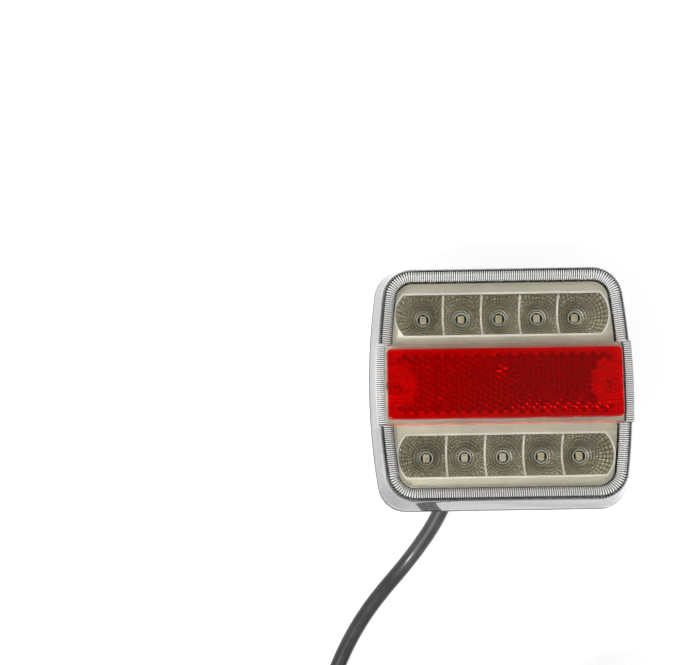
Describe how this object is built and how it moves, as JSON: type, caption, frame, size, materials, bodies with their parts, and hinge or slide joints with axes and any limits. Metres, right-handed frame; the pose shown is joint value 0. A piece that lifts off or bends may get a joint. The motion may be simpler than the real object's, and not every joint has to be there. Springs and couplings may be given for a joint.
{
  "type": "trailer tail light",
  "caption": "Square LED trailer tail light with a clear ribbed lens, two rows of faceted cups and a red reflex bar, on a round magnet base, with its cable and round plug.",
  "frame": {"origin": "centre of the magnet's contact face, on the surface that the lamp lies on", "axes": "+Z out of the lens, +Y towards the lamp's top edge, +X to the right seen from the front"},
  "size_m": [0.1478, 0.2726, 0.053],
  "materials": {
    "black_abs": "satin, fine moulded grain",
    "sealant": "satin",
    "clear_lens": "gloss, moulded prisms and ribs",
    "red_lens": "gloss, prismatic",
    "bezel_chrome": "warm vacuum metallised",
    "reflector_chrome": "vacuum metallised, faceted",
    "board": "dark green solder mask",
    "led": "phosphor under clear gel",
    "component": "matte",
    "screw_steel": "zinc plated",
    "core_white": "satin",
    "core_brown": "satin",
    "core_red": "satin",
    "core_yellow": "satin",
    "tinned_copper": "tinned",
    "black_rubber": "matte",
    "nylon": "satin",
    "zinc_steel": "bright zinc, bluish",
    "ferrite": "ground, mottled",
    "potting": "gloss",
    "passivated_steel": "yellowish zinc",
    "cable_jacket": "satin",
    "plug_plastic": "satin",
    "insert_plastic": "matte",
    "brass": "machined"
  },
  "bodies": {
    "root": {"base_plate": "black_abs", "lens_seal": "sealant", "lens_cover": "clear_lens", "reflex_bar": "red_lens", "reflector_bezel": "bezel_chrome", "upper_reflector": "reflector_chrome", "lower_reflector": "reflector_chrome", "circuit_board": "board", "upper_leds": "led", "lower_leds": "led", "end_leds": "led", "resistors": "component", "diodes": "component", "board_screws": "screw_steel", "core_earth": "core_white", "core_tail": "core_brown", "core_stop": "core_red", "core_turn": "core_yellow", "core_ferrules": "tinned_copper", "cable_grommet": "black_rubber", "cable_clamp": "nylon", "magnet_cup": "zinc_steel", "ring_magnet": "ferrite", "magnet_glue": "potting", "magnet_bolt": "passivated_steel", "spring_washer": "zinc_steel", "magnet_nut": "passivated_steel", "cable": "cable_jacket", "cable_coil": "cable_jacket", "cable_tail": "cable_jacket", "coil_tie": "nylon", "plug_shell": "plug_plastic", "plug_insert": "insert_plastic", "plug_pins": "brass", "plug_gland_nut": "plug_plastic", "plug_gland_seal": "black_rubber", "plug_screw": "screw_steel"}
  },
  "joints": []
}
